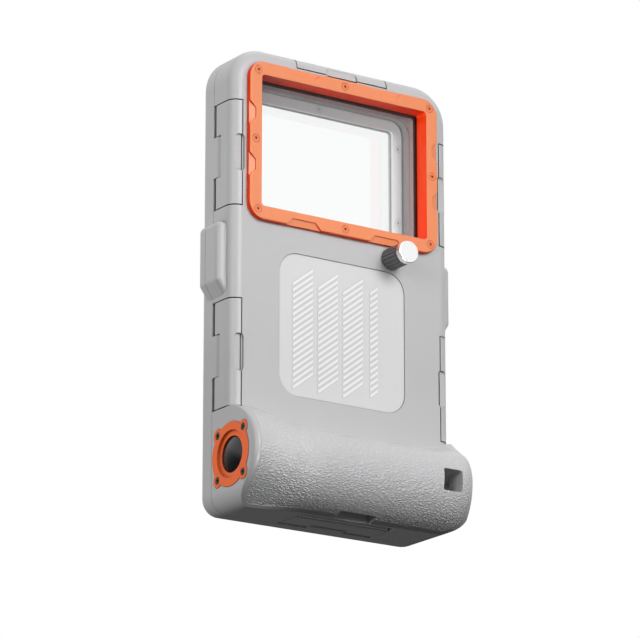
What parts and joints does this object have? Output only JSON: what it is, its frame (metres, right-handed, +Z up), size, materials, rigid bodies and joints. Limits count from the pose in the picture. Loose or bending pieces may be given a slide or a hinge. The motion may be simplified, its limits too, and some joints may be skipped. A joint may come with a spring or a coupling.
{
  "type": "waterproof phone case",
  "caption": "Hard waterproof phone case with a screwed camera window, snap latches all round, a hand grip with a shutter button, and a touch-film screen cover.",
  "frame": {"origin": "middle of the whole box, on the plane of the grip's flat base", "axes": "+X across the case towards the vent knob's side, +Y towards the screen side, +Z up towards the window"},
  "size_m": [0.122, 0.0472, 0.206],
  "materials": {
    "housing_grey": "smooth light grey moulding, satin",
    "label_grey": "smooth lighter grey inlay, matt",
    "latch_grey": "smooth light grey moulding, satin",
    "grip_skin": "soft grey skin with a leather grain",
    "frame_orange": "orange, fine satin texture",
    "screw_orange": "orange painted hex-socket screws",
    "window_glass": "clear tempered glass",
    "film": "clear soft film, slightly hazy",
    "seal_black": "black silicone rubber",
    "button_black": "black, satin",
    "knob_black": "black, fluted",
    "cap_metal": "bright machined metal",
    "steel": "stainless steel",
    "clamp_black": "dark grey moulding",
    "clamp_grey": "light grey moulding",
    "foam_black": "black closed-cell foam",
    "board_green": "solder-masked circuit board"
  },
  "bodies": {
    "housing": {"back_shell": "housing_grey", "bay_lid": "clamp_black", "bay_screws": "steel", "grip_skin": "grip_skin", "label_panel": "label_grey", "phone_pad_left": "foam_black", "phone_pad_right": "foam_black", "phone_rest": "foam_black", "remote_board": "board_green", "remote_cell": "steel", "shutter_bezel": "frame_orange", "shutter_screws": "steel", "shutter_seal": "seal_black", "shutter_spring": "steel", "vent_seal": "seal_black", "window_frame": "frame_orange", "window_glass": "window_glass", "window_screws": "screw_orange", "window_seal": "seal_black"},
    "cover": {"screen_cover": "housing_grey", "cover_gasket": "seal_black", "touch_film": "film", "film_clamp": "clamp_grey", "clamp_screws": "clamp_grey", "pin_right_upper": "steel", "pin_right_lower": "steel", "pin_left_upper": "steel", "pin_left_lower": "steel", "pin_top": "steel", "pin_bottom": "steel"},
    "shutter": {"shutter_button": "button_black"},
    "vent_knob": {"vent_stem": "steel", "knob_sleeve": "knob_black", "knob_cap": "cap_metal"},
    "latch_right_upper": {"latch_right_upper": "latch_grey"},
    "latch_right_lower": {"latch_right_lower": "latch_grey"},
    "latch_left_upper": {"latch_left_upper": "latch_grey"},
    "latch_left_lower": {"latch_left_lower": "latch_grey"},
    "latch_top": {"latch_top": "latch_grey"},
    "latch_bottom": {"latch_bottom": "latch_grey"}
  },
  "joints": [
    {"name": "cover_lift", "type": "slide", "parent": "housing", "child": "cover", "axis": [0, 1, 0], "range_m": [0, 0.015]},
    {"name": "latch_right_upper_hinge", "type": "hinge", "parent": "cover", "child": "latch_right_upper", "pos_m": [0.0545, 0.0118, 0.1567], "axis": [0, 0, 1], "range_deg": [0, 90]},
    {"name": "latch_right_lower_hinge", "type": "hinge", "parent": "cover", "child": "latch_right_lower", "pos_m": [0.0545, 0.0118, 0.0676], "axis": [0, 0, 1], "range_deg": [0, 90]},
    {"name": "latch_left_upper_hinge", "type": "hinge", "parent": "cover", "child": "latch_left_upper", "pos_m": [-0.0545, 0.0118, 0.1567], "axis": [0, 0, -1], "range_deg": [0, 90]},
    {"name": "latch_left_lower_hinge", "type": "hinge", "parent": "cover", "child": "latch_left_lower", "pos_m": [-0.0545, 0.0118, 0.0676], "axis": [0, 0, -1], "range_deg": [0, 90]},
    {"name": "latch_top_hinge", "type": "hinge", "parent": "cover", "child": "latch_top", "pos_m": [0, 0.0118, 0.2035], "axis": [-1, 0, 0], "range_deg": [0, 90]},
    {"name": "latch_bottom_hinge", "type": "hinge", "parent": "cover", "child": "latch_bottom", "pos_m": [0, 0.0118, 0.0025], "axis": [1, 0, 0], "range_deg": [0, 90]},
    {"name": "shutter_press", "type": "slide", "parent": "housing", "child": "shutter", "axis": [1, 0, 0], "range_m": [0, 0.0015], "stiffness_N_per_m": 500, "springref_m": -0.003, "deforming": ["shutter_spring"]},
    {"name": "vent_turn", "type": "hinge", "parent": "housing", "child": "vent_knob", "pos_m": [0.0254, 0, 0.122], "axis": [0, 1, 0], "range_deg": [0, 180]}
  ],
  "couplings": [
    {"joint": "latch_right_upper_hinge", "follows": "cover_lift", "rad_per_m": 104.7},
    {"joint": "latch_right_lower_hinge", "follows": "cover_lift", "rad_per_m": 104.7},
    {"joint": "latch_left_upper_hinge", "follows": "cover_lift", "rad_per_m": 104.7},
    {"joint": "latch_left_lower_hinge", "follows": "cover_lift", "rad_per_m": 104.7},
    {"joint": "latch_top_hinge", "follows": "cover_lift", "rad_per_m": 104.7},
    {"joint": "latch_bottom_hinge", "follows": "cover_lift", "rad_per_m": 104.7}
  ]
}
